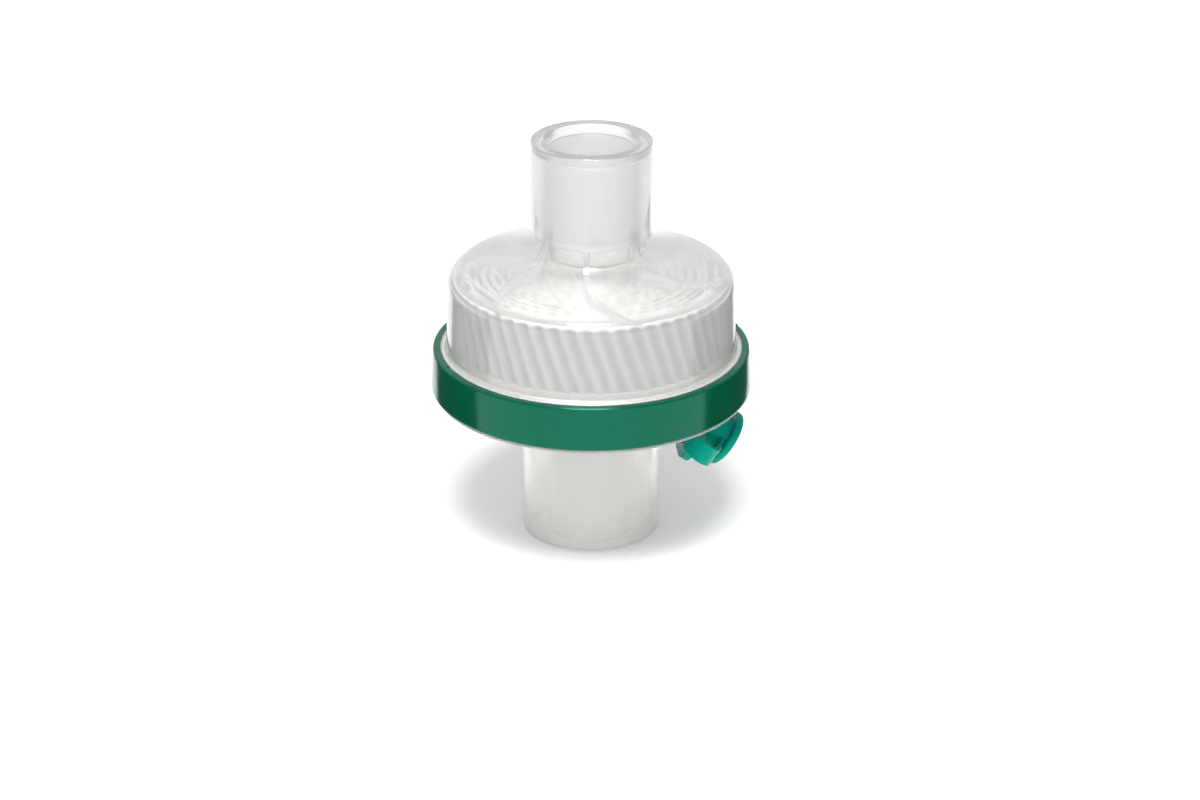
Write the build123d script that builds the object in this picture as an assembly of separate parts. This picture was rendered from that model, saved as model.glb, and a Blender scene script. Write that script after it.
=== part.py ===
# Breathing circuit filter: a heat-and-moisture exchanger with an electrostatic filter.
# Millimetres. The origin is on the filter's axis at the lower rim, which it stands on. +Z points up
# to the patient connector, and the front is at -Y. Azimuths are counted from the front, growing
# towards +X, which is anticlockwise as seen from above.
from build123d import *
import os
from math import cos, degrees, radians, sin, tan

# Connector cones taper one part in forty on the diameter: change of radius for each millimetre
CONE_TAPER = 1 / 80

# Machine connector (bottom): a 22 mm socket with a 15 mm male cone inside it
machine_length = 21.8  # from the rim up to the dish
machine_outer_radius = 12.87
machine_socket_radius = 11.2  # at the rim
machine_cone_radius = 7.62  # at the rim
machine_bore_radius = 6.3
rim_edge = 0.4
dish_fillet = 1.0

# Lower shell: a dish with ribs that carry the filter pad, and a tongue inside the weld
dish_rise = 6.1  # from the top of the connector to the flange's underside
dish_edge_step = 0.4  # the dish ends this far inside the flange
dish_wall = 1.5
lower_flange_height = 4.7  # from its underside to the weld
lower_lip_step = 1.1  # beyond the flange
lower_lip_height = 0.5
lower_lip_edge = 0.2
tongue_height = 2.8  # above the weld
tongue_wall = 1.0
tongue_clearance = 0.05
rib_count = 12
rib_thickness = 1.0
rib_inner_radius = 8.5
rib_height = 2.4  # of the ribs' tops above the weld

# Colour ring round the weld, with a gate nick on each edge of its top
ring_height = 8.35
ring_top_wall = 1.4
ring_bottom_wall = 1.8
ring_top_edge = 0.45
ring_bottom_edge = 0.8
nick_radius = 0.7
nick_depth = 0.45
inner_nick_azimuth = -66
outer_nick_azimuth = 108

# Upper shell
dome_base_radius = 26.7  # outside, just above the flange
flange_step = 1.1  # beyond the dome's base
flange_wall = 1.55
dome_draft = 0.037  # loss of radius for each millimetre of height
dome_base_wall = 1.4
dome_shoulder_wall = 1.2
dome_top_wall = 1.4
dome_cone_angle = 12.0
shoulder_rounding = 2.3
ceiling_rounding = 0.5
cove_radius = 1.0
pinch_height = 0.9  # space that holds the pad's edge above the tongue

# Neck and patient connector (top): a 22 mm male cone with a 15 mm socket inside it
neck_wall = 1.5
neck_fillet = 0.8
neck_height = 3.9
skirt_length = 17.5
skirt_top_radius = 11.0
skirt_wall = 1.15
skirt_edge = 0.45
roof_thickness = 2.0
gap_rounding = 0.35
socket_radius = 7.735  # at the mouth
socket_depth = 16.0
lead_in_step = 0.965
lead_in_depth = 1.0
throat_radius = 7.4
throat_rounding = 0.5

# Gussets on the neck, and swirl vanes under the dome's top that start at the same azimuths
spoke_count = 6
spoke_azimuth = -5
gusset_foot = 2.0
gusset_thickness = 1.0
gusset_drop = 0.3  # below the skirt
vane_thickness = 1.0
vane_start_radius = 9.5
vane_middle_radius = 17.6
vane_middle_turn = 8.0
vane_end_turn = 25.5
root_depth = 0.3  # how far ribs, gussets and vanes reach into the wall that carries them

# Filter pad and exchanger roll
pad_thickness = 2.8
pad_clearance = 0.1
roll_height = 12.2
roll_clearance = 0.2  # to the dome's wall
roll_headroom = 0.25  # to the dome's ceiling, at the wall
vane_clearance = 0.05  # between the roll and the vanes
flute_count = 54
flute_depth = 0.9
flute_lean = 18.5  # degrees from upright, at the outside

# Sampling port on the dish. Lengths along it are counted from the middle of the cap's disc.
port_azimuth = 95
port_tilt = 35.5  # below the horizontal
disc_offset = 12.23  # from the machine connector's wall out to the middle of the disc
disc_drop = 10.2344  # of that point below the dish straight above it
port_radius = 3.0
port_bore_radius = 2.15  # at the mouth
port_bore_taper = 0.03  # change of radius for each millimetre
port_bore_depth = 8.0
port_gas_radius = 1.2
port_length = 22.0  # to well inside the shell, where the chamber cuts it off
port_edge = 0.3

# Cap of the sampling port: disc, skirt and plug
disc_radius = 5.5
disc_thickness = 1.6
disc_rounding = 0.6
cap_seat_gap = 0.05  # between the disc and the port's mouth
cap_skirt_wall = 0.8
cap_skirt_length = 5.0
cap_skirt_clearance = 0.25
plug_length = 5.4
plug_clearance = 0.04
plug_hollow_radius = 1.0
plug_floor = 1.0

# Collar round the port, with an ear in front, and the strap that loops over the ear to the disc
collar_wall = 1.35
collar_thickness = 1.4
collar_gap = 0.7  # from the cap's skirt
collar_clearance = 0.05
ear_reach = 10.6  # from the port's axis
ear_drop = 5.3  # of its lower edge below the port's axis
ear_rounding = 2.8
ear_edge = 0.6
strap_width = 4.1
strap_thickness = 1.0
strap_drop = 1.0  # of the strap's middle below the port's axis
strap_gap = 0.3  # between the strap and the disc or the cap's skirt
strap_bow = 1.7  # how far the strap bows back past the collar's middle
strap_bow_reach = 7.0  # from the port's axis to where the bow begins
strap_reach = 12.2  # to the loop's outer side
strap_back = 1.0  # of the loop's back corner past the collar's middle
strap_front = 2.5  # of the loop's front corner behind the strap's end
strap_fold_reach = 8.7  # to the fold beside the disc
strap_fold = 1.3  # of that fold behind the strap's end
strap_bow_bend = 1.5
strap_back_bend = 3.0
strap_front_bend = 2.0
strap_fold_bend = 0.8

# Heights of the stack, from the rim upwards
flange_z = machine_length + dish_rise
ring_z = flange_z + lower_lip_height
ring_top_z = ring_z + ring_height
weld_z = flange_z + lower_flange_height
pad_z = weld_z + rib_height
tongue_z = weld_z + tongue_height
ledge_z = tongue_z + pinch_height
roll_z = pad_z + pad_thickness
roll_top_z = roll_z + roll_height
ceiling_z = roll_top_z + roll_headroom

# Radii that follow from the walls and fits
flange_radius = dome_base_radius + flange_step  # also the inside of the colour ring
ring_top_radius = flange_radius + ring_top_wall
ring_bottom_radius = flange_radius + ring_bottom_wall
lower_lip_radius = flange_radius + lower_lip_step
dish_edge_radius = flange_radius - dish_edge_step
neck_radius = throat_radius + neck_wall
lead_in_radius = socket_radius + lead_in_step
flange_inner_radius = flange_radius - flange_wall
tongue_radius = flange_inner_radius - tongue_clearance
tongue_inner_radius = tongue_radius - tongue_wall
dome_inner_radius = dome_base_radius - dome_base_wall
dish_slope = dish_rise / (dish_edge_radius - machine_outer_radius)
dome_slope = tan(radians(dome_cone_angle))


def dish_under(radius):
    """Height of the dish's underside."""
    return machine_length + (radius - machine_outer_radius) * dish_slope


def dish_floor(radius):
    """Height of the dish's inner face."""
    return dish_under(radius) + dish_wall * (1 + dish_slope**2) ** 0.5


def dome_outer(z):
    """Outer radius of the dome's side."""
    return dome_base_radius - dome_draft * (z - ring_top_z)


ceiling_radius = dome_outer(ceiling_z) - dome_shoulder_wall


def dome_ceiling(radius):
    """Height of the inner face of the dome's top."""
    return ceiling_z + (ceiling_radius - radius) * dome_slope


def dome_top(radius):
    """Height of the outer face of the dome's top."""
    return dome_ceiling(radius) + dome_top_wall / cos(radians(dome_cone_angle))


shoulder_radius = (dome_outer(dome_top(0))) / (1 - dome_draft * dome_slope)
skirt_z = dome_top(neck_radius) + neck_height
top_z = skirt_z + skirt_length

# Places along the sampling port, and radii of what goes round it
port_mouth = -disc_thickness / 2 - cap_seat_gap
collar_place = -disc_thickness / 2 - cap_skirt_length - collar_gap - collar_thickness / 2
collar_inner_radius = port_radius + collar_clearance
collar_radius = collar_inner_radius + collar_wall
cap_skirt_inner_radius = port_radius + cap_skirt_clearance
cap_skirt_radius = cap_skirt_inner_radius + cap_skirt_wall
strap_end_place = -disc_thickness / 2 - strap_gap - strap_thickness / 2


def turned(corners):
    """A solid of revolution from a closed outline of (radius, height, rounding of that corner)."""
    outline = FilletPolyline(
        *[(radius, 0, z) for radius, z, _ in corners],
        radius=[rounding for *_, rounding in corners],
        close=True,
    )
    return revolve(make_face(outline), Axis.Z)


def on_azimuth(radius, azimuth):
    """The point at this radius and azimuth, in plan."""
    return radius * sin(radians(azimuth)), -radius * cos(radians(azimuth))


def radial_plate(corners, thickness, azimuth):
    """A flat plate that stands in the radial plane at this azimuth."""
    face = make_face(Polyline(*[(radius, 0, z) for radius, z in corners], close=True))
    return Rot(0, 0, azimuth - 90) * extrude(face, thickness / 2, both=True)


def port_frame():
    """Local frame of the sampling port: X to the front, Y down across the port, Z out along it."""
    disc_reach = machine_outer_radius + disc_offset
    x, y = on_azimuth(disc_reach, port_azimuth)
    ahead_x, ahead_y = on_azimuth(cos(radians(port_tilt)), port_azimuth)
    side_x, side_y = on_azimuth(1, port_azimuth - 90)
    return Plane(
        origin=(x, y, dish_under(disc_reach) - disc_drop),
        x_dir=(side_x, side_y, 0),
        z_dir=(ahead_x, ahead_y, -sin(radians(port_tilt))),
    ).location


def chamber():
    """The space inside the lower shell, up to the tongue's top."""
    return turned(
        [
            (0, dish_floor(0), 0),
            (tongue_inner_radius, dish_floor(tongue_inner_radius), 0),
            (tongue_inner_radius, tongue_z, 0),
            (0, tongue_z, 0),
        ]
    )


def port_tube():
    """The sampling port's tube, in its own frame."""
    outline = [
        (0, -port_length, 0),
        (port_radius, -port_length, 0),
        (port_radius, port_mouth, port_edge),
        (0, port_mouth, 0),
    ]
    return turned(outline)


def port_bore():
    """The port's tapered bore, and the narrow gas way behind it, in its own frame."""
    taper_end = port_mouth - port_bore_depth
    outline = [
        (0, port_mouth + 1, 0),
        (port_bore_radius + port_bore_taper, port_mouth + 1, 0),
        (port_bore_radius - port_bore_taper * port_bore_depth, taper_end, 0),
        (port_gas_radius, taper_end, 0),
        (port_gas_radius, -port_length, 0),
        (0, -port_length, 0),
    ]
    return turned(outline)


def bottom_housing():
    """Lower shell: flange, dish, both machine connectors, ribs and sampling port."""
    gap_outer_radius = machine_socket_radius - CONE_TAPER * dish_under(machine_socket_radius)
    gap_inner_radius = machine_cone_radius + CONE_TAPER * dish_under(machine_cone_radius)
    shell = turned(
        [
            (machine_outer_radius, 0, rim_edge),
            (machine_outer_radius, machine_length, dish_fillet),
            (dish_edge_radius, flange_z, 0),
            (lower_lip_radius, flange_z, lower_lip_edge),
            (lower_lip_radius, ring_z, 0),
            (flange_radius, ring_z, 0),
            (flange_radius, weld_z, 0),
            (tongue_radius, weld_z, 0),
            (tongue_radius, tongue_z, 0),
            (tongue_inner_radius, tongue_z, 0),
            (tongue_inner_radius, dish_floor(tongue_inner_radius), dish_fillet),
            (machine_bore_radius, dish_floor(machine_bore_radius), rim_edge),
            (machine_bore_radius, 0, rim_edge),
            (machine_cone_radius, 0, rim_edge),
            (gap_inner_radius, dish_under(gap_inner_radius), 0),
            (gap_outer_radius, dish_under(gap_outer_radius), 0),
            (machine_socket_radius, 0, rim_edge),
        ]
    )
    shell += port_frame() * port_tube() - chamber()
    rib_end_radius = tongue_inner_radius + root_depth
    rib_corners = [
        (rib_inner_radius, dish_floor(rib_inner_radius) - root_depth),
        (rib_inner_radius, pad_z),
        (rib_end_radius, pad_z),
        (rib_end_radius, dish_floor(rib_end_radius) - root_depth),
    ]
    rib_pitch = 360 / rib_count
    for rib in range(rib_count):
        azimuth = port_azimuth + (rib + 0.5) * rib_pitch  # the port opens between two ribs
        shell += radial_plate(rib_corners, rib_thickness, azimuth)
    return shell - port_frame() * port_bore()


def swirl_vanes():
    """Curved walls that fill the space between the roll and the dome's ceiling."""
    vane_z = roll_top_z + vane_clearance
    end_radius = ceiling_radius + root_depth
    under_ceiling = turned(
        [
            (0, vane_z, 0),
            (end_radius, vane_z, 0),
            (end_radius, dome_ceiling(end_radius) + root_depth, 0),
            (0, dome_ceiling(0) + root_depth, 0),
        ]
    )
    path = ThreePointArc(
        on_azimuth(vane_start_radius, spoke_azimuth),
        on_azimuth(vane_middle_radius, spoke_azimuth + vane_middle_turn),
        on_azimuth(end_radius, spoke_azimuth + vane_end_turn),
    )
    vane = extrude(Pos(0, 0, vane_z) * SlotArc(path, vane_thickness), dome_ceiling(0) - vane_z)
    vane &= under_ceiling
    return [Rot(0, 0, spoke * 360 / spoke_count) * vane for spoke in range(spoke_count)]


def top_housing():
    """Upper shell: flange, dome, neck and both patient connectors."""
    skirt_low_radius = skirt_top_radius + CONE_TAPER * skirt_length
    roof_z = top_z - roof_thickness
    roof_radius = skirt_top_radius + CONE_TAPER * roof_thickness - skirt_wall
    socket_z = top_z - lead_in_depth
    socket_end_radius = socket_radius - CONE_TAPER * socket_depth
    shell = turned(
        [
            (flange_inner_radius, weld_z, 0),
            (flange_radius, weld_z, 0),
            (flange_radius, ring_top_z, 0),
            (dome_base_radius, ring_top_z, cove_radius),
            (shoulder_radius, dome_top(shoulder_radius), shoulder_rounding),
            (neck_radius, dome_top(neck_radius), neck_fillet),
            (neck_radius, roof_z, gap_rounding),
            (roof_radius, roof_z, gap_rounding),
            (skirt_low_radius - skirt_wall, skirt_z, 0),
            (skirt_low_radius, skirt_z, skirt_edge),
            (skirt_top_radius, top_z, skirt_edge),
            (lead_in_radius, top_z, skirt_edge),
            (socket_radius, socket_z, 0),
            (socket_end_radius, socket_z - socket_depth, 0),
            (throat_radius, socket_z - socket_depth, 0),
            (throat_radius, dome_ceiling(throat_radius), throat_rounding),
            (ceiling_radius, ceiling_z, ceiling_rounding),
            (dome_inner_radius, ledge_z, 0),
            (flange_inner_radius, ledge_z, 0),
        ]
    )
    foot_radius = neck_radius + gusset_foot
    root_radius = neck_radius - root_depth
    gusset_corners = [
        (root_radius, skirt_z - gusset_drop),
        (neck_radius, skirt_z - gusset_drop),
        (foot_radius, dome_top(foot_radius)),
        (foot_radius, dome_top(foot_radius) - root_depth),
        (root_radius, dome_top(root_radius) - root_depth),
    ]
    for spoke in range(spoke_count):
        azimuth = spoke_azimuth + spoke * 360 / spoke_count
        shell += radial_plate(gusset_corners, gusset_thickness, azimuth)
    for vane in swirl_vanes():
        shell += vane
    return shell


def colour_ring():
    """Band round the weld, with the two gate nicks."""
    ring = turned(
        [
            (flange_radius, ring_z, 0),
            (ring_bottom_radius, ring_z, ring_bottom_edge),
            (ring_top_radius, ring_top_z, ring_top_edge),
            (flange_radius, ring_top_z, 0),
        ]
    )
    for radius, azimuth in (
        (flange_radius, inner_nick_azimuth),
        (ring_top_radius, outer_nick_azimuth),
    ):
        x, y = on_azimuth(radius, azimuth)
        ring -= Pos(x, y, ring_top_z) * Cylinder(nick_radius, 2 * nick_depth)
    return ring


def filter_pad():
    """Felt disc on the ribs, whose edge is pinched between the tongue and the dome's ledge."""
    low_radius = tongue_inner_radius - pad_clearance
    edge_radius = flange_inner_radius - pad_clearance
    high_radius = dome_inner_radius - pad_clearance
    return turned(
        [
            (0, pad_z, 0),
            (low_radius, pad_z, 0),
            (low_radius, tongue_z, 0),
            (edge_radius, tongue_z, 0),
            (edge_radius, ledge_z, 0),
            (high_radius, ledge_z, 0),
            (high_radius, roll_z, 0),
            (0, roll_z, 0),
        ]
    )


def exchanger_roll():
    """Wound corrugated paper: its outermost turn is fluted, and the flutes lean."""
    tip_radius = ceiling_radius - roll_clearance
    lean_turn = degrees(roll_height * tan(radians(flute_lean)) / tip_radius)
    points = []
    for corner in range(2 * flute_count):
        radius = tip_radius - flute_depth * (corner % 2)
        points.append(on_azimuth(radius, corner * 180 / flute_count))
    outline = make_face(Polyline(*points, close=True))
    upper = Pos(0, 0, roll_top_z) * Rot(0, 0, -lean_turn) * outline
    return loft([Pos(0, 0, roll_z) * outline, upper], ruled=True)


def luer_cap():
    """Cap on the sampling port, in place: disc, skirt over the tube and plug in the bore."""
    top = disc_thickness / 2
    plug_radius = port_bore_radius - plug_clearance
    cap = turned(
        [
            (plug_hollow_radius, top, 0),
            (disc_radius, top, disc_rounding),
            (disc_radius, -top, disc_rounding),
            (cap_skirt_radius, -top, 0),
            (cap_skirt_radius, -top - cap_skirt_length, 0),
            (cap_skirt_inner_radius, -top - cap_skirt_length, 0),
            (cap_skirt_inner_radius, -top, 0),
            (plug_radius, -top, 0),
            (plug_radius - port_bore_taper * plug_length, -top - plug_length, 0),
            (0, -top - plug_length, 0),
            (0, -top - plug_length + plug_floor, 0),
            (plug_hollow_radius, -top - plug_length + plug_floor, 0),
        ]
    )
    return port_frame() * cap


def cap_strap():
    """Collar round the port, with an ear, and the strap that loops over the ear to the disc."""
    high_edge = strap_drop - strap_width / 2
    ear = FilletPolyline(
        (0, high_edge),
        (ear_reach, high_edge),
        (ear_reach, ear_drop),
        (0, ear_drop),
        radius=[0, ear_edge, ear_rounding, ear_edge],
        close=True,
    )
    plan = Circle(collar_radius) + make_face(ear) - Circle(collar_inner_radius)
    collar = Pos(0, 0, collar_place) * extrude(plan, collar_thickness / 2, both=True)
    route = FilletPolyline(
        (collar_radius - root_depth, 0, collar_place),
        (strap_bow_reach, 0, collar_place - strap_bow),
        (strap_reach, 0, collar_place - strap_back),
        (strap_reach, 0, strap_end_place - strap_front),
        (strap_fold_reach, 0, strap_end_place - strap_fold),
        (cap_skirt_radius + strap_gap, 0, strap_end_place),
        radius=[strap_bow_bend, strap_back_bend, strap_front_bend, strap_fold_bend],
    )
    across = Plane(route @ 0, x_dir=(0, 1, 0), z_dir=route % 0)
    strap = sweep(across * Rectangle(strap_width, strap_thickness), route)
    return port_frame() * (collar + Pos(0, strap_drop, 0) * strap)


os.makedirs("parts", exist_ok=True)
for make in (
    top_housing,
    bottom_housing,
    colour_ring,
    exchanger_roll,
    filter_pad,
    luer_cap,
    cap_strap,
):
    export_step(make(), f"parts/{make.__name__}.step")
print(f"filter {top_z:.2f} mm high, {2 * ring_bottom_radius:.1f} mm across the ring")
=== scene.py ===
# %% [markdown]
# # A breathing circuit filter
# The filter warms and cleans the air of a breathing tube. A clear dome with a tapered connector
# sits on a shallow dish with a second connector, a green ring closes the joint, and a teal cap on
# a strap closes the small sampling port. Through the dome we see a roll of corrugated paper on a
# felt disc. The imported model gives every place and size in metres, so it is loaded first and
# stays as it is.

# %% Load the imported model
import math

import bmesh
import bpy
from mathutils import Matrix, Vector


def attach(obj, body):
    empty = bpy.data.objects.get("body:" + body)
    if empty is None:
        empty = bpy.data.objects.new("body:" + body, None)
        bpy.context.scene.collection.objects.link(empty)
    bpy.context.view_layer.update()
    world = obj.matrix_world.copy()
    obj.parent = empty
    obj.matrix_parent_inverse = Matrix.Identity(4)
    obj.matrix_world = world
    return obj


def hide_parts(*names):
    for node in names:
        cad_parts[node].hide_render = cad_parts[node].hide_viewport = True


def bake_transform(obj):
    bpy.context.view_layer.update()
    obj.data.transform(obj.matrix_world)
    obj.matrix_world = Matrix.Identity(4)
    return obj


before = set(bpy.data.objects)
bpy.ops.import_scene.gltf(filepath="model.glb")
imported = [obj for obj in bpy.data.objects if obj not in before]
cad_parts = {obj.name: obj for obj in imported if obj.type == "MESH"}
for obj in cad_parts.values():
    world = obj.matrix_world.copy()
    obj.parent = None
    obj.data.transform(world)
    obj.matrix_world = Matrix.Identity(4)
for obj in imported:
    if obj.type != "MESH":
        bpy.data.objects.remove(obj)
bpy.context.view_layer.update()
MM = 0.001
print("nodes:", ", ".join(sorted(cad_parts)))

# %% [markdown]
# # The camera
# The photograph looks down on the filter by about 24 degrees from half a metre away. The lens is
# long, which keeps the upright walls of both connectors nearly parallel.

# %% Camera
CAMERA_DISTANCE = 522.4 * MM
CAMERA_ORBIT = math.radians(22.85)
CAMERA_PITCH = math.radians(24.321)
CAMERA_PAN = math.radians(0.199)
CAMERA_ROLL = math.radians(0.23)
LOOK_HEIGHT = 40 * MM

lens = bpy.data.cameras.new("photo_lens")
lens.sensor_width = 36
lens.lens = 85.06
camera = bpy.data.objects.new("photo_camera", lens)
bpy.context.scene.collection.objects.link(camera)
camera.location = (
    0,
    -CAMERA_DISTANCE * math.cos(CAMERA_ORBIT),
    LOOK_HEIGHT + CAMERA_DISTANCE * math.sin(CAMERA_ORBIT),
)
aim = (
    Matrix.Rotation(-CAMERA_PAN, 4, "Z")
    @ Matrix.Rotation(math.pi / 2 - CAMERA_PITCH, 4, "X")
    @ Matrix.Rotation(CAMERA_ROLL, 4, "Z")
)
camera.rotation_euler = aim.to_euler()
bpy.context.scene.camera = camera
print("camera at", [round(x, 4) for x in camera.location])

# %% [markdown]
# # Drawing an outline and turning it
# Nearly every piece of this filter is a turned shape, so one way of working serves them all. A
# plane is merged to a single point, the point is extruded from corner to corner of the section,
# the round corners are bevelled, and a spin about the upright axis makes the solid. Corners are
# written in millimetres as radius, height and rounding.

# %% Selecting by place
SAME_PLACE = 1e-7  # metres between two points that count as one


def deselect_all():
    """Leaves nothing selected and nothing in edit mode."""
    if bpy.context.object and bpy.context.object.mode != "OBJECT":
        bpy.ops.object.mode_set(mode="OBJECT")
    bpy.ops.object.select_all(action="DESELECT")


def take(piece):
    """Makes a piece the only selected one and the active one."""
    deselect_all()
    piece.select_set(True)
    bpy.context.view_layer.objects.active = piece


def pick_points(piece, wanted):
    """In edit mode, selects the points whose place passes the test."""
    bpy.ops.mesh.select_all(action="DESELECT")
    net = bmesh.from_edit_mesh(piece.data)
    for point in net.verts:
        point.select_set(wanted(point.co))
    net.select_flush(True)
    bmesh.update_edit_mesh(piece.data)


def counts(piece):
    """How many faces a piece has, and whether any edge is open."""
    net = bmesh.new()
    net.from_mesh(piece.data)
    loose = sum(len(edge.link_faces) != 2 for edge in net.edges)
    faces = len(net.faces)
    net.free()
    return f"{piece.name}: {faces} faces, {loose} open edges"


# %% Outlines
DEGREES_A_STEP = 12  # of the steps that round a corner


def draw_outline(name, corners, close=True):
    """Extrudes one point round the corners (radius, height, rounding) and rounds them."""
    deselect_all()
    bpy.ops.mesh.primitive_plane_add(size=1 * MM)
    piece = bpy.context.object
    piece.name = piece.data.name = name
    bpy.ops.object.mode_set(mode="EDIT")
    bpy.ops.mesh.select_all(action="SELECT")
    bpy.ops.mesh.merge(type="CENTER")
    places = [Vector((radius * MM, 0, height * MM)) for radius, height, _ in corners]
    bpy.ops.transform.translate(value=places[0])
    for here, there in zip(places, places[1:]):
        bpy.ops.mesh.extrude_region_move(TRANSFORM_OT_translate={"value": there - here})
    if close:
        ends = (places[0], places[-1])
        pick_points(piece, lambda co: any((co - end).length < SAME_PLACE for end in ends))
        bpy.ops.mesh.edge_face_add()
    for number, (_, _, rounding) in enumerate(corners):
        if rounding:
            here = places[number]
            before = (places[number - 1] - here).normalized()
            after = (places[(number + 1) % len(places)] - here).normalized()
            bend = math.pi - before.angle(after)
            pick_points(piece, lambda co: (co - here).length < SAME_PLACE)
            bpy.ops.mesh.bevel(
                offset=rounding * MM * math.tan(bend / 2),
                offset_type="OFFSET",
                segments=max(3, round(math.degrees(bend) / DEGREES_A_STEP)),
                affect="VERTICES",
            )
    bpy.ops.mesh.select_all(action="SELECT")
    return piece


# %% Turning
def close_skin(piece, smooth_angle=30):
    """Merges doubles, points the faces outwards, leaves edit mode and shades by angle."""
    bpy.ops.mesh.select_all(action="SELECT")
    bpy.ops.mesh.remove_doubles(threshold=SAME_PLACE)
    bpy.ops.mesh.normals_make_consistent(inside=False)
    bpy.ops.object.mode_set(mode="OBJECT")
    bpy.ops.object.shade_smooth_by_angle(angle=math.radians(smooth_angle))
    return piece


def turn(name, corners, steps=160):
    """A turned solid about the upright axis from its section's corners."""
    ends_on_axis = corners[0][0] == corners[-1][0] == 0
    piece = draw_outline(name, corners, close=not ends_on_axis)
    bpy.ops.mesh.spin(steps=steps, angle=2 * math.pi, center=(0, 0, 0), axis=(0, 0, 1))
    return close_skin(piece)


# %% [markdown]
# Ribs and gussets are flat plates in that same outline plane, made once and copied round the
# axis. Booleans join and cut the solids. They can leave edges shorter than a micrometre along
# their seams, so the two pieces that are joined from several solids are welded at the end.

# %% Plates, copies and Booleans
HAIRLINE = 1e-6  # metres, the length below which an edge is left over from a Boolean


def plate(name, corners, thickness):
    """A flat plate in the plane of the outline, with its thickness shared to both sides."""
    piece = draw_outline(name, corners)
    bpy.ops.mesh.edge_face_add()
    bpy.ops.transform.translate(value=(0, -thickness * MM / 2, 0))
    bpy.ops.mesh.extrude_region_move(TRANSFORM_OT_translate={"value": (0, thickness * MM, 0)})
    return close_skin(piece)


def apply_place(piece):
    """Puts a piece's place, turn and scale into its mesh."""
    take(piece)
    bpy.ops.object.transform_apply(location=True, rotation=True, scale=True)
    return piece


def ring_of_copies(piece, count, first_azimuth):
    """Copies a piece round the axis and joins the copies. Azimuths count from the front to +X."""
    copies = []
    for number in range(count):
        twin = piece.copy()
        twin.data = piece.data.copy()
        bpy.context.scene.collection.objects.link(twin)
        azimuth = first_azimuth + number * 360 / count
        twin.matrix_world = Matrix.Rotation(math.radians(azimuth - 90), 4, "Z")
        copies.append(apply_place(twin))
    bpy.data.objects.remove(piece)
    deselect_all()
    for twin in copies:
        twin.select_set(True)
    bpy.context.view_layer.objects.active = copies[0]
    bpy.ops.object.join()
    return bpy.context.object


def combine(piece, other, operation):
    """Applies a Boolean of another closed solid, which is used up."""
    take(piece)
    modifier = piece.modifiers.new(operation.lower(), "BOOLEAN")
    modifier.operation = operation
    modifier.solver = "EXACT"
    modifier.object = other
    bpy.ops.object.modifier_apply(modifier=modifier.name)
    bpy.data.objects.remove(other)
    return piece


def weld_seams(piece):
    """Merges the hairline edges that Booleans leave along their seams."""
    take(piece)
    bpy.ops.object.mode_set(mode="EDIT")
    bpy.ops.mesh.select_all(action="SELECT")
    bpy.ops.mesh.remove_doubles(threshold=HAIRLINE)
    bpy.ops.mesh.dissolve_degenerate(threshold=HAIRLINE)
    bpy.ops.object.mode_set(mode="OBJECT")
    return piece


# %% [markdown]
# # Upper shell
# One clear moulding: the flange and dome, the neck, and the 22 mm cone hanging round a 15 mm
# socket. A single outline follows its whole section, outside first and then back down the inside,
# because a clear wall needs both of its faces for light to bend through it.

# %% Upper shell: dome, neck and both cones
UPPER_OUTLINE = [
    (27.55, 32.6, 0),
    (27.8, 32.6, 0),
    (27.8, 36.74, 0),
    (26.7, 36.74, 0.9),
    (26.157, 51.436, 2.8),
    (8.9, 55.104, 0.8),
    (8.9, 74.5, 0.35),
    (9.875, 74.5, 0.35),
    (10.069, 59.0, 0.2),
    (11.219, 59.0, 0.45),
    (11.0, 76.5, 0.3),
    (8.7, 76.5, 0.3),
    (7.735, 75.5, 0.4),
    (7.535, 59.5, 0.1),
    (7.4, 59.4, 0.1),
    (7.4, 53.99, 0.5),
    (25.0, 50.25, 0.5),
    (25.3, 36.3, 0.1),
    (27.55, 36.3, 0.1),
]
upper_shell = turn("upper_shell", UPPER_OUTLINE, steps=192)
print(counts(upper_shell))

# %% [markdown]
# Six small gussets stiffen the neck. A gusset is an extruded plate. Joined to the shell by a
# Boolean, such thin clear blades rendered with large dark facets, so gussets and vanes stay
# pieces of their own. They stand a few hundredths of a millimetre clear of the shell's straight
# walls and run a little way into its rounded corners.

# %% Upper shell: gussets
SPOKE_COUNT = 6
SPOKE_AZIMUTH = -5
gusset = plate(
    "gusset",
    [(8.92, 58.7, 0.1), (9.15, 58.7, 0.1), (10.9, 54.9, 0.3), (10.9, 54.7, 0), (8.92, 55.12, 0)],
    thickness=1.0,
)
gussets = ring_of_copies(gusset, SPOKE_COUNT, SPOKE_AZIMUTH)
gussets.name = gussets.data.name = "neck_gussets"
print(counts(gussets))

# %% [markdown]
# Under the dome's top six curved vanes spread the air over the paper. A vane is a rectangle spun
# about the centre of its curve. The curve goes through three places, at its start, middle and
# end, and the vanes' tops are trimmed to the slope of the ceiling with a Boolean.

# %% Upper shell: a vane's curve
def curve_centre(first, middle, last):
    """Centre of the circle through three points of the plan."""
    (ax, ay), (bx, by), (cx, cy) = first, middle, last
    scale = 2 * (ax * (by - cy) + bx * (cy - ay) + cx * (ay - by))
    a, b, c = ax * ax + ay * ay, bx * bx + by * by, cx * cx + cy * cy
    x = (a * (by - cy) + b * (cy - ay) + c * (ay - by)) / scale
    y = (a * (cx - bx) + b * (ax - cx) + c * (bx - ax)) / scale
    return Vector((x, y, 0))


def in_plan(radius, azimuth):
    """Place in the plan, in metres, of a radius and an azimuth from +X."""
    angle = math.radians(azimuth)
    return radius * MM * math.cos(angle), radius * MM * math.sin(angle)


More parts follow.
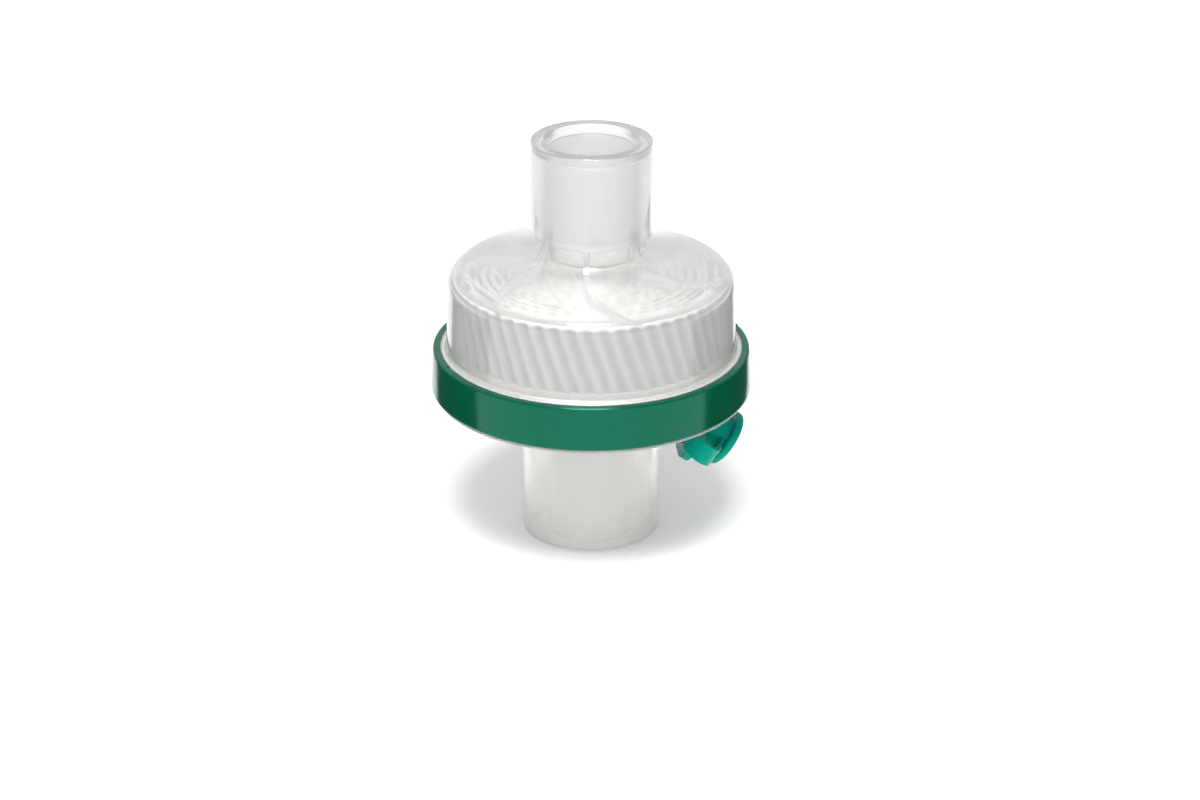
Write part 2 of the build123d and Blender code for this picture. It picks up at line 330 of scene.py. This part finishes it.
vane_start = in_plan(9.5, 0)
vane_middle = in_plan(17.6, 8)
vane_end = in_plan(25.3, 25.5)
centre = curve_centre(vane_start, vane_middle, vane_end)
first_angle = math.atan2(vane_start[1] - centre.y, vane_start[0] - centre.x)
last_angle = math.atan2(vane_end[1] - centre.y, vane_end[0] - centre.x)
sweep = (last_angle - first_angle + math.pi) % (2 * math.pi) - math.pi
vane_radius = (Vector((*vane_start, 0)) - centre).length / MM
vane_bend = round(math.degrees(sweep), 1)
print("a vane bends round", round(vane_radius, 2), "mm through", vane_bend, "degrees")

# %% Upper shell: vanes
VANE_LOW = 50.05
VANE_HIGH = 56.0  # above the ceiling, to which the vanes are trimmed
VANE_THICKNESS = 0.9
inner_side = vane_radius - VANE_THICKNESS / 2
outer_side = vane_radius + VANE_THICKNESS / 2
vane = draw_outline(
    "vane",
    [
        (inner_side, VANE_LOW, 0),
        (outer_side, VANE_LOW, 0),
        (outer_side, VANE_HIGH, 0),
        (inner_side, VANE_HIGH, 0),
    ],
)
bpy.ops.mesh.edge_face_add()
bpy.ops.mesh.spin(steps=24, angle=-sweep, center=(0, 0, 0), axis=(0, 0, 1))
close_skin(vane)
vane.matrix_world = Matrix.Translation(centre) @ Matrix.Rotation(first_angle, 4, "Z")
apply_place(vane)
under_ceiling = turn(
    "under_ceiling",
    [(9.0, VANE_LOW, 0), (24.9, VANE_LOW, 0), (24.9, 50.24, 0), (9.0, 53.62, 0)],
)
vanes = combine(ring_of_copies(vane, SPOKE_COUNT, SPOKE_AZIMUTH), under_ceiling, "INTERSECT")
vanes.name = vanes.data.name = "swirl_vanes"
print(counts(vanes))

# %% [markdown]
# # Lower shell
# The second clear moulding: the flange with its tongue, the dish, the outer wall of the 22 mm
# socket and the 15 mm cone that stands inside it. Twelve ribs carry the felt, and the sampling
# port leaves the dish at a slant.

# %% Lower shell: dish and both connectors
LOWER_OUTLINE = [
    (12.87, 0, 0.3),
    (12.87, 21.8, 1.0),
    (27.4, 27.9, 0),
    (28.9, 27.9, 0.2),
    (28.9, 28.39, 0),
    (27.8, 28.39, 0),
    (27.8, 32.59, 0),
    (26.2, 32.59, 0),
    (26.2, 35.4, 0.1),
    (25.2, 35.4, 0.1),
    (25.2, 28.6, 1.0),
    (6.3, 20.67, 0.4),
    (6.3, 0.02, 0.4),
    (7.62, 0.02, 0.4),
    (7.865, 19.7, 0.3),
    (10.936, 20.99, 0.3),
    (11.2, 0, 0.3),
]
lower_shell = turn("lower_shell", LOWER_OUTLINE, steps=192)
rib = plate(
    "rib",
    [(8.5, 21.3, 0), (8.5, 34.98, 0.4), (25.5, 34.98, 0), (25.5, 28.3, 0)],
    thickness=1.0,
)
RIB_COUNT = 12
PORT_AZIMUTH = 95
ribs = ring_of_copies(rib, RIB_COUNT, PORT_AZIMUTH + 180 / RIB_COUNT)
combine(lower_shell, ribs, "UNION")
print(counts(lower_shell))

# %% [markdown]
# The sampling port has a frame of its own, with its origin in the middle of the cap's disc. Z
# runs out along the port, X to the front and Y down across it. What belongs to the port is turned
# upright about that Z and then moved into the frame.

# %% Lower shell: sampling port
PORT_TILT = math.radians(35.5)
PORT_REACH = 25.1
PORT_HEIGHT = 16.7
port_angle = math.radians(PORT_AZIMUTH)
port_out = Vector(
    (
        math.sin(port_angle) * math.cos(PORT_TILT),
        -math.cos(port_angle) * math.cos(PORT_TILT),
        -math.sin(PORT_TILT),
    )
)
port_front = Vector((-math.cos(port_angle), -math.sin(port_angle), 0))
port_down = port_out.cross(port_front)
port_origin = Vector(
    (
        PORT_REACH * math.sin(port_angle),
        -PORT_REACH * math.cos(port_angle),
        PORT_HEIGHT,
    )
)
port_turn = Matrix((port_front, port_down, port_out)).transposed()
port_frame = Matrix.Translation(port_origin * MM) @ port_turn.to_4x4()


def into_port(piece):
    """Moves a piece from upright at the origin into the port's frame."""
    piece.matrix_world = port_frame
    return apply_place(piece)


print("port's origin", [round(x / MM, 2) for x in port_frame.translation], "mm")

# %% [markdown]
# The port's tube reaches well into the dish, so what would stand in the open chamber is cut away
# before the tube is joined on. The bore comes last and goes through tube and dish alike: a luer
# taper at the mouth and a narrow gas way behind it.

# %% Lower shell: the port's tube and bore
TUBE_OUTLINE = [(0, -22, 0), (3, -22, 0), (3, -0.85, 0.3), (0, -0.85, 0)]
CHAMBER_OUTLINE = [(0, 20.9, 0), (25.0, 29.3, 0), (25.0, 36, 0), (0, 36, 0)]
BORE_OUTLINE = [
    (0, 0.2, 0),
    (2.18, 0.2, 0),
    (1.91, -8.85, 0),
    (1.2, -8.85, 0),
    (1.2, -22, 0),
    (0, -22, 0),
]
tube = into_port(turn("port_tube", TUBE_OUTLINE, steps=64))
chamber = turn("chamber", CHAMBER_OUTLINE)
combine(lower_shell, combine(tube, chamber, "DIFFERENCE"), "UNION")
bore = into_port(turn("port_bore", BORE_OUTLINE, steps=48))
weld_seams(combine(lower_shell, bore, "DIFFERENCE"))
print(counts(lower_shell))

# %% [markdown]
# # Green ring
# The ring is moulded round the weld of the two shells. Its wall leans out a little towards the
# bottom, the top lip is narrow and flat, and two small nicks show where the plastic was let in.

# %% Green ring
RING_TOP = 36.75
NICK_RADIUS = 0.7
NICK_HEIGHT = 0.9  # of the cutter, whose middle lies in the ring's top
NICKS = ((27.8, -66), (29.2, 108))  # distance from the axis and azimuth
green_ring = turn(
    "green_ring",
    [(27.81, 28.4, 0.15), (29.6, 28.4, 0.8), (29.2, RING_TOP, 0.45), (27.81, RING_TOP, 0.15)],
    steps=256,
)
for radius, azimuth in NICKS:
    deselect_all()
    angle = math.radians(azimuth)
    place = Vector((radius * math.sin(angle), -radius * math.cos(angle), RING_TOP)) * MM
    bpy.ops.mesh.primitive_cylinder_add(
        vertices=32,
        radius=NICK_RADIUS * MM,
        depth=NICK_HEIGHT * MM,
        location=place,
    )
    combine(green_ring, apply_place(bpy.context.object), "DIFFERENCE")
print(counts(green_ring))

# %% [markdown]
# # Felt disc
# The felt lies on the ribs. Its edge is pinched between the shells and folded down inside the
# weld, where it shows as a cream band within the green ring.

# %% Felt disc
felt_disc = turn(
    "felt_disc",
    [
        (0, 35.0, 0),
        (25.1, 35.0, 0.1),
        (25.1, 35.42, 0.1),
        (26.23, 35.42, 0.2),
        (26.23, 32.65, 0.3),
        (27.53, 32.65, 0.3),
        (27.53, 36.28, 0.3),
        (25.2, 36.28, 0.3),
        (24.9, 37.75, 0.5),
        (0, 37.79, 0),
    ],
)
print(counts(felt_disc))

# %% [markdown]
# # Paper roll
# The exchanger is a strip of corrugated paper wound into a roll. Each turn is one wave: a circle
# whose every second point is scaled inwards, extruded upwards in steps with a little twist each,
# because the flutes lean. Subdivision rounds the wave, which takes off two thirds of the outer
# turn's depth, and Solidify gives the paper its thickness. A smooth backing sheet lies between the
# turns. Only the top of the inner turns can be seen through the dome, so they are a millimetre
# high and stand on a solid core.

# %% Paper roll: one turn
ROLL_LOW = 37.82
ROLL_HIGH = 49.98
CORE_HIGH = 49.0
FLUTE_DEPTH = 1.7  # before the wave is rounded
OUTER_RADIUS = 25.35  # of the crests before the wave is rounded
FLUTE_COUNT = 54
TURN_PITCH = 1.6
PAPER_THICKNESS = 0.14
LEAN = math.radians(18.5)


def paper_sheet(radius, low, flutes, depth, lifts, rounds):
    """One turn of paper up to the roll's top: fluted if depth is given, and smooth if it is 0."""
    deselect_all()
    foot = (0, 0, low * MM)
    bpy.ops.mesh.primitive_circle_add(vertices=2 * flutes, radius=radius * MM, location=foot)
    sheet = apply_place(bpy.context.object)
    bpy.ops.object.mode_set(mode="EDIT")
    if depth:
        step = math.pi / flutes
        pick_points(sheet, lambda co: round(math.atan2(co.y, co.x) / step) % 2 == 1)
        inner = 1 - depth / radius
        bpy.ops.transform.resize(value=(inner, inner, 1), center_override=foot)
    bpy.ops.mesh.select_all(action="SELECT")
    rise = (ROLL_HIGH - low) / lifts
    for _ in range(lifts):
        bpy.ops.mesh.extrude_region_move(TRANSFORM_OT_translate={"value": (0, 0, rise * MM)})
        lean = rise * math.tan(LEAN) / radius
        bpy.ops.transform.rotate(value=lean, orient_axis="Z", center_override=(0, 0, 0))
    bpy.ops.object.mode_set(mode="OBJECT")
    if rounds:
        wave = sheet.modifiers.new("rounding", "SUBSURF")
        wave.levels = wave.render_levels = rounds
        bpy.ops.object.modifier_apply(modifier=wave.name)
    skin = sheet.modifiers.new("thickness", "SOLIDIFY")
    skin.thickness = PAPER_THICKNESS * MM
    skin.offset = -1
    bpy.ops.object.modifier_apply(modifier=skin.name)
    bpy.ops.object.shade_smooth_by_angle(angle=math.radians(50))
    return sheet


# %% Paper roll: winding
INNERMOST = 3
BACKING_STEP = 0.25  # of a backing sheet outside its wave
CORE_STEP = 0.3  # of the core outside the troughs before the wave is rounded
core_radius = OUTER_RADIUS - FLUTE_DEPTH + CORE_STEP
core_top = CORE_HIGH + 0.1
core_outline = [
    (0, ROLL_LOW, 0),
    (core_radius, ROLL_LOW, 0),
    (core_radius, core_top, 0),
    (0, core_top, 0),
]
turns = [paper_sheet(OUTER_RADIUS, ROLL_LOW, FLUTE_COUNT, FLUTE_DEPTH, lifts=4, rounds=2)]
radius = OUTER_RADIUS - TURN_PITCH
while radius > INNERMOST:
    flutes = max(6, round(FLUTE_COUNT * radius / OUTER_RADIUS))
    turns.append(paper_sheet(radius, CORE_HIGH, flutes, FLUTE_DEPTH, lifts=1, rounds=1))
    turns.append(paper_sheet(radius + BACKING_STEP, CORE_HIGH, 2 * flutes, 0, lifts=1, rounds=0))
    radius -= TURN_PITCH
turns.append(turn("core", core_outline))
deselect_all()
for sheet in turns:
    sheet.select_set(True)
bpy.context.view_layer.objects.active = turns[0]
bpy.ops.object.join()
paper_roll = bpy.context.object
paper_roll.name = paper_roll.data.name = "paper_roll"
reach = [math.hypot(v.co.x, v.co.y) / MM for v in paper_roll.data.vertices]
print(len(turns), "sheets out to", round(max(reach), 2), "mm;", counts(paper_roll))

# %% [markdown]
# # Port cap
# The cap is soft and opaque: a rounded disc to grip, a skirt over the port's tube and a tapered
# plug in its bore.

# %% Port cap
port_cap = into_port(
    turn(
        "port_cap",
        [
            (0, -0.25, 0),
            (1.0, -0.25, 0.1),
            (1.0, 0.8, 0.2),
            (5.5, 0.8, 0.6),
            (5.5, -0.8, 0.6),
            (4.05, -0.8, 0.2),
            (4.05, -5.8, 0.2),
            (3.25, -5.8, 0.2),
            (3.25, -0.8, 0),
            (2.11, -0.8, 0),
            (1.95, -6.2, 0.2),
            (0, -6.2, 0),
        ],
        steps=96,
    )
)
print(counts(port_cap))

# %% [markdown]
# # Collar and strap
# A collar with a broad ear holds the strap on the port, and the strap loops over the ear to the
# disc. The strap is its route extruded to a band and thickened. Only its rims are drawn in, which
# softens them: a Bevel on bends this tight tears the band open.

# %% Strap
STRAP_DROP = 1.0
STRAP_WIDTH = 4.2
STRAP_THICKNESS = 1.0
STRAP_EDGE = 0.3  # width of the strip along each rim that is thinned
STRAP_SOFTENING = 0.2
STRAP_ROUTE = [
    (4.1, -7.2, 0),
    (7.0, -8.9, 1.5),
    (12.2, -8.2, 3.0),
    (12.2, -4.1, 2.0),
    (8.7, -2.9, 0.8),
    (4.0, -1.5, 0),
]
strap = draw_outline("cap_loop", STRAP_ROUTE, close=False)
bpy.ops.transform.translate(value=(0, (STRAP_DROP - STRAP_WIDTH / 2) * MM, 0))
for step in (STRAP_EDGE, STRAP_WIDTH - 2 * STRAP_EDGE, STRAP_EDGE):
    bpy.ops.mesh.extrude_region_move(TRANSFORM_OT_translate={"value": (0, step * MM, 0)})
bpy.ops.object.mode_set(mode="OBJECT")
thickness = strap.modifiers.new("thickness", "SOLIDIFY")
thickness.thickness = STRAP_THICKNESS * MM
thickness.offset = 0
bpy.ops.object.modifier_apply(modifier=thickness.name)
bpy.ops.object.mode_set(mode="EDIT")
rim = (STRAP_WIDTH / 2 - 0.05) * MM
pick_points(strap, lambda co: abs(co.y - STRAP_DROP * MM) > rim)
bpy.ops.transform.shrink_fatten(value=-STRAP_SOFTENING * MM)
close_skin(strap)
print(counts(strap))

# %% [markdown]
# The collar is a turned ring, and its ear is a plate drawn upright and laid flat across the port.
# Booleans join both to the strap.

# %% Collar and ear
COLLAR_LOW = -7.9
COLLAR_HIGH = -6.5
collar_height = (COLLAR_HIGH - COLLAR_LOW) * MM
collar = turn(
    "collar",
    [
        (3.06, COLLAR_LOW, 0.1),
        (4.4, COLLAR_LOW, 0.2),
        (4.4, COLLAR_HIGH, 0.2),
        (3.06, COLLAR_HIGH, 0.1),
    ],
    steps=64,
)
ear = draw_outline("ear", [(3.3, -0.8, 0), (10.6, -0.8, 0.6), (10.6, 5.3, 2.8), (1.2, 5.3, 2.0)])
bpy.ops.mesh.edge_face_add()
bpy.ops.mesh.extrude_region_move(TRANSFORM_OT_translate={"value": (0, collar_height, 0)})
close_skin(ear)
laid_flat = Matrix.Rotation(-math.pi / 2, 4, "X")
ear.matrix_world = Matrix.Translation((0, 0, COLLAR_HIGH * MM)) @ laid_flat
apply_place(ear)
combine(strap, combine(collar, ear, "UNION"), "UNION")
cap_loop = into_port(weld_seams(strap))
print(counts(cap_loop))

# %% [markdown]
# # Finishes
# Every finish is a small node tree on Object coordinates, so it is tied to the piece and needs no
# unwrapping. Lengths in the trees are metres: a noise of scale 1000 has grains of about a
# millimetre.

# %% Node helpers
def new_finish(name):
    """A new material, its node tree and its shader."""
    material = bpy.data.materials.new(name)
    material.use_nodes = True
    return material, material.node_tree, material.node_tree.nodes["Principled BSDF"]


def add_node(tree, kind, inputs=None, **settings):
    """Adds a node. An input is a plain value or the output socket that feeds it."""
    node = tree.nodes.new(kind)
    for name, value in settings.items():
        setattr(node, name, value)
    for socket, value in (inputs or {}).items():
        if isinstance(value, bpy.types.NodeSocket):
            tree.links.new(value, node.inputs[socket])
        else:
            node.inputs[socket].default_value = value
    return node


def grain_of(tree, scale, detail=3.0, stretch=(1, 1, 1)):
    """Noise fixed to the piece, with so many grains to the metre, and drawn out along an axis."""
    place = add_node(tree, "ShaderNodeTexCoord").outputs["Object"]
    drawn = add_node(tree, "ShaderNodeMapping", {"Vector": place, "Scale": stretch})
    sockets = {"Vector": drawn.outputs["Vector"], "Scale": scale, "Detail": detail}
    return add_node(tree, "ShaderNodeTexNoise", sockets).outputs["Fac"]


def between(tree, value, low, high, start=0.3, end=0.7):
    """Takes a value's range from start to end on to the range from low to high."""
    sockets = {"Value": value, "From Min": start, "From Max": end, "To Min": low, "To Max": high}
    return add_node(tree, "ShaderNodeMapRange", sockets).outputs["Result"]


def two_tones(tree, share, dark, light):
    """Mixes two colours by a share from 0 to 1. Each is a triple or the output that feeds it."""
    tones = [(*tone, 1) if isinstance(tone, tuple) else tone for tone in (dark, light)]
    mix = add_node(tree, "ShaderNodeMix", {0: share, 6: tones[0], 7: tones[1]}, data_type="RGBA")
    return mix.outputs[2]


def rough_skin(tree, shader, height, depth, strength=1.0):
    """Raises the surface by so many metres where the height is 1."""
    sockets = {"Height": height, "Distance": depth, "Strength": strength}
    bump = add_node(tree, "ShaderNodeBump", sockets)
    tree.links.new(bump.outputs["Normal"], shader.inputs["Normal"])


def give(piece, material):
    """Makes this the only material of a piece."""
    piece.data.materials.clear()
    piece.data.materials.append(material)
    print(piece.name, "is given", material.name, "of", len(material.node_tree.nodes), "nodes")


# %% [markdown]
# The shells are a clear plastic with a milky haze. Most of the light is bent through it, a share
# stays in the surface as white, and the coat keeps the outside glossy while the haze blurs what
# is behind. Cycles would throw a full shadow behind such glass, so rays that look for a lamp meet
# a pale transparent veil instead.

# %% Clear plastic
clear_plastic, tree, shader = new_finish("clear_plastic")
shader.inputs["Base Color"].default_value = (0.79, 0.795, 0.79, 1)
shader.inputs["Transmission Weight"].default_value = 0.81
shader.inputs["IOR"].default_value = 1.44
shader.inputs["Coat Weight"].default_value = 0.6
shader.inputs["Coat Roughness"].default_value = 0.03
haze = between(tree, grain_of(tree, 140.0), 0.16, 0.24)
tree.links.new(haze, shader.inputs["Roughness"])
lamp_ray = add_node(tree, "ShaderNodeLightPath").outputs["Is Shadow Ray"]
veil = add_node(tree, "ShaderNodeBsdfTransparent", {"Color": (0.91, 0.91, 0.9, 1)})
sockets = {0: lamp_ray, 1: shader.outputs["BSDF"], 2: veil.outputs["BSDF"]}
skin = add_node(tree, "ShaderNodeMixShader", sockets)
tree.links.new(skin.outputs["Shader"], tree.nodes["Material Output"].inputs["Surface"])
give(upper_shell, clear_plastic)

# %% [markdown]
# The lower shell is moulded from the same plastic. Its copy is whiter and a little cloudier, as
# painted light on the part that sits in the ring's shadow, and its walls are smoother, so that the
# inner tube shows through the outer one.

# %% Cloudy plastic with painted light
cloudy_plastic_with_painted_light = clear_plastic.copy()
cloudy_plastic_with_painted_light.name = "cloudy_plastic_with_painted_light"
haze_and_painted_light = cloudy_plastic_with_painted_light.node_tree.nodes["Principled BSDF"].inputs
# painted light: a whiter, cloudier copy of the clear plastic lightens the shadowed lower shell
haze_and_painted_light["Base Color"].default_value = (0.92, 0.925, 0.9, 1)
haze_and_painted_light["Transmission Weight"].default_value = 0.76
for node in cloudy_plastic_with_painted_light.node_tree.nodes:
    if node.type == "MAP_RANGE":
        node.inputs["To Min"].default_value = 0.08
        node.inputs["To Max"].default_value = 0.13
give(lower_shell, cloudy_plastic_with_painted_light)

# %% [markdown]
# The vanes and gussets are thin blades of the same plastic. At full strength each would bend the
# light like a prism, so their copy of the finish bends it less and they show as fine lines.

# %% Thin blades
thin_plastic = clear_plastic.copy()
thin_plastic.name = "thin_plastic"
thin = thin_plastic.node_tree.nodes["Principled BSDF"].inputs
thin["IOR"].default_value = 1.3
thin["Coat Weight"].default_value = 0
give(vanes, thin_plastic)
give(gussets, thin_plastic)

# %% [markdown]
# The ring is glossy green polypropylene. Its reflections are tinted towards the green, a fine
# grain from the mould breaks them up, and the green varies slightly, as dyed plastic does.

# %% Green plastic
green_plastic, tree, shader = new_finish("green_plastic")
shader.inputs["IOR"].default_value = 1.6
shader.inputs["Specular Tint"].default_value = (0.2, 0.95, 0.72, 1)
cloud = between(tree, grain_of(tree, 60.0), 0, 1)
green = two_tones(tree, cloud, (0, 0.066, 0.032), (0, 0.077, 0.038))
tree.links.new(green, shader.inputs["Base Color"])
tree.links.new(between(tree, grain_of(tree, 900.0), 0.11, 0.2), shader.inputs["Roughness"])
rough_skin(tree, shader, grain_of(tree, 2200.0), 0.000012)
give(green_ring, green_plastic)

# %% [markdown]
# The cap and its loop are a softer, satin plastic, a little translucent at thin edges.

# %% Teal plastic
teal_plastic, tree, shader = new_finish("teal_plastic")
shader.inputs["Specular Tint"].default_value = (0.1, 0.9, 0.75, 1)
shader.inputs["Subsurface Weight"].default_value = 0.25
shader.inputs["Subsurface Radius"].default_value = (0.1, 1.0, 0.7)
shader.inputs["Subsurface Scale"].default_value = 0.0012
cloud = between(tree, grain_of(tree, 160.0), 0, 1)
teal = two_tones(tree, cloud, (0, 0.26, 0.185), (0, 0.31, 0.225))
tree.links.new(teal, shader.inputs["Base Color"])
tree.links.new(between(tree, grain_of(tree, 700.0), 0.3, 0.42), shader.inputs["Roughness"])
rough_skin(tree, shader, grain_of(tree, 1800.0), 0.00002)
give(port_cap, teal_plastic)
give(cap_loop, teal_plastic)

# %% [markdown]
# The paper is off-white and matt, with fine fibres. Painted shade deepens the colour by the
# distance from the axis towards the troughs of the flutes, where little light reaches. The sides
# are painted a darker grey as painted shade, and the cut tops of the turns nearly white as a
# painted highlight.

# %% Paper
paper, tree, shader = new_finish("exchanger_paper")
shader.inputs["Roughness"].default_value = 0.85
place = add_node(tree, "ShaderNodeTexCoord").outputs["Object"]
split = add_node(tree, "ShaderNodeSeparateXYZ", {"Vector": place})
flat = add_node(tree, "ShaderNodeCombineXYZ", {"X": split.outputs["X"], "Y": split.outputs["Y"]})
from_axis = add_node(tree, "ShaderNodeVectorMath", {0: flat.outputs["Vector"]}, operation="LENGTH")
# painted shade: darker towards the troughs of the flutes, lighter on the crests
painted_flute_shade = between(tree, from_axis.outputs["Value"], 0, 1, start=24.45 * MM, end=24.88 * MM)
fibres = between(tree, grain_of(tree, 900.0, 5.0, (1, 1, 0.3)), 0, 1)
# painted shade: the sides of the turns are a darker grey than their tops
painted_side_shade = two_tones(tree, painted_flute_shade, (0.2, 0.21, 0.215), (0.4, 0.4, 0.38))
# painted highlight: the cut tops of the turns are nearly white
painted_top_highlight = between(tree, split.outputs["Z"], 0, 1, start=49.4 * MM, end=49.8 * MM)
painted_light_and_shade = two_tones(tree, painted_top_highlight, painted_side_shade, (0.92, 0.92, 0.89))
mottle = two_tones(tree, fibres, (0.92, 0.92, 0.91), (1, 1, 1))
sockets = {0: 1.0, 6: painted_light_and_shade, 7: mottle}
tone = add_node(tree, "ShaderNodeMix", sockets, data_type="RGBA", blend_type="MULTIPLY")
tree.links.new(tone.outputs[2], shader.inputs["Base Color"])
rough_skin(tree, shader, grain_of(tree, 1500.0, 5.0), 0.00004)
give(paper_roll, paper)

# %% [markdown]
# The felt is cream and fluffy. Noise drawn out along the height stands for its fibres and varies
# its tone, a finer one raises its bumps, and sheen lightens it where it is seen from the side.

# %% Felt
felt, tree, shader = new_finish("filter_felt")
shader.inputs["Roughness"].default_value = 0.95
shader.inputs["Sheen Weight"].default_value = 0.25
fibres = between(tree, grain_of(tree, 700.0, 6.0, (1, 1, 0.4)), 0, 1)
cream = two_tones(tree, fibres, (0.36, 0.36, 0.31), (0.44, 0.44, 0.375))
tree.links.new(cream, shader.inputs["Base Color"])
rough_skin(tree, shader, grain_of(tree, 1400.0, 6.0, (1, 1, 0.4)), 0.00008)
give(felt_disc, felt)

# %% [markdown]
# # Floor and light
# The filter stands on a plain pale sheet that glows a little, as a light table does, which keeps
# its shadow light.

# %% Floor
deselect_all()
bpy.ops.mesh.primitive_plane_add(size=6)
floor = bpy.context.object
floor.name = floor.data.name = "pale_floor"
pale, tree, shader = new_finish("pale_floor")
shader.inputs["Base Color"].default_value = (0.86, 0.86, 0.86, 1)
shader.inputs["Roughness"].default_value = 0.7
shader.inputs["Emission Color"].default_value = (1, 1, 1, 1)
shader.inputs["Emission Strength"].default_value = 0.17
give(floor, pale)

# %% [markdown]
# Two dark cards stand left and right of the filter. Only reflections see them: they put the deep
# green patches in the ring that a photographer gets from black flags.

# %% Dark cards
dark_card, tree, shader = new_finish("dark_card")
shader.inputs["Base Color"].default_value = (0.02, 0.02, 0.02, 1)
shader.inputs["Roughness"].default_value = 1
CARD_HEIGHT = 40
for name, across, near, far in (("left_flag", -60, -22.5, 40), ("right_flag", 60, -22.5, 60)):
    deselect_all()
    middle = Vector((across, (near + far) / 2, CARD_HEIGHT / 2)) * MM
    bpy.ops.mesh.primitive_plane_add(size=1 * MM, location=middle, rotation=(0, math.pi / 2, 0))
    flag = bpy.context.object
    flag.name = flag.data.name = name
    flag.scale = (CARD_HEIGHT, far - near, 1)
    give(flag, dark_card)
    flag.visible_camera = flag.visible_diffuse = flag.visible_shadow = False
    flag.visible_transmission = flag.visible_volume_scatter = False

# %% [markdown]
# A large softbox, high and in front, throws the shadow backwards, and a weak one fills the front.
# The rest of the light comes from all round. The studio is dimmer left and right, a little more
# so on the right, which gives the flutes of the paper their shade at both sides.

# %% Light
OPEN_STRENGTH = 0.68
SIDE_STRENGTH = 0.36
world = bpy.data.worlds.new("soft_studio")
world.use_nodes = True
bpy.context.scene.world = world
tree = world.node_tree
sky = tree.nodes["Background"]
sky.inputs["Color"].default_value = (1, 1, 1, 1)
direction = add_node(tree, "ShaderNodeTexCoord").outputs["Generated"]
sideways = add_node(tree, "ShaderNodeSeparateXYZ", {"Vector": direction}).outputs["X"]
shifted = add_node(tree, "ShaderNodeMath", {0: sideways, 1: 0.1}, operation="ADD").outputs["Value"]
sideways = add_node(tree, "ShaderNodeMath", {0: shifted}, operation="ABSOLUTE").outputs["Value"]
strength = between(tree, sideways, OPEN_STRENGTH, SIDE_STRENGTH, start=0.3, end=0.95)
tree.links.new(strength, sky.inputs["Strength"])


def softbox(name, place, aim_at, width, height, power):
    """An area light that faces a point."""
    light = bpy.data.lights.new(name, "AREA")
    light.shape = "RECTANGLE"
    light.size, light.size_y, light.energy = width, height, power
    lamp = bpy.data.objects.new(name, light)
    bpy.context.scene.collection.objects.link(lamp)
    lamp.location = place
    lamp.rotation_euler = (Vector(aim_at) - Vector(place)).to_track_quat("-Z", "Y").to_euler()
    print(name, "of", power, "W at", place)
    return lamp


softbox("key_softbox", (-0.1, -1.22, 2.74), (0, 0, 0.03), 1.1, 0.8, 85)
softbox("front_softbox", (0.1, -2.2, 0.95), (0, 0, 0.04), 1.6, 0.9, 9.5)
bpy.context.scene.view_settings.view_transform = "Standard"
bpy.context.scene.cycles.max_bounces = 24
bpy.context.scene.cycles.transmission_bounces = 24

# %% [markdown]
# # Handing over
# Every piece but the strap rides on its body, and seven of the nine stand for the CAD nodes. The
# vanes and gussets belong to the moulding that the upper shell stands for. The cap is pulled out
# along the port, and its strap joins it to the shell, so the strap rides on neither body and only
# has its place baked into its mesh.

# %% Bodies, nodes and slots
for piece, body, slot, node in (
    (upper_shell, "filter", "clear_shell", "top_housing"),
    (vanes, "filter", "clear_shell", None),
    (gussets, "filter", "clear_shell", None),
    (lower_shell, "filter", "clear_shell", "bottom_housing"),
    (green_ring, "filter", "ring_plastic", "colour_ring"),
    (paper_roll, "filter", "paper", "exchanger_roll"),
    (felt_disc, "filter", "felt", "filter_pad"),
    (port_cap, "cap", "cap_plastic", "luer_cap"),
):
    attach(piece, body)
    if node:
        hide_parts(node)
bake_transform(cap_loop)
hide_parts("cap_strap")
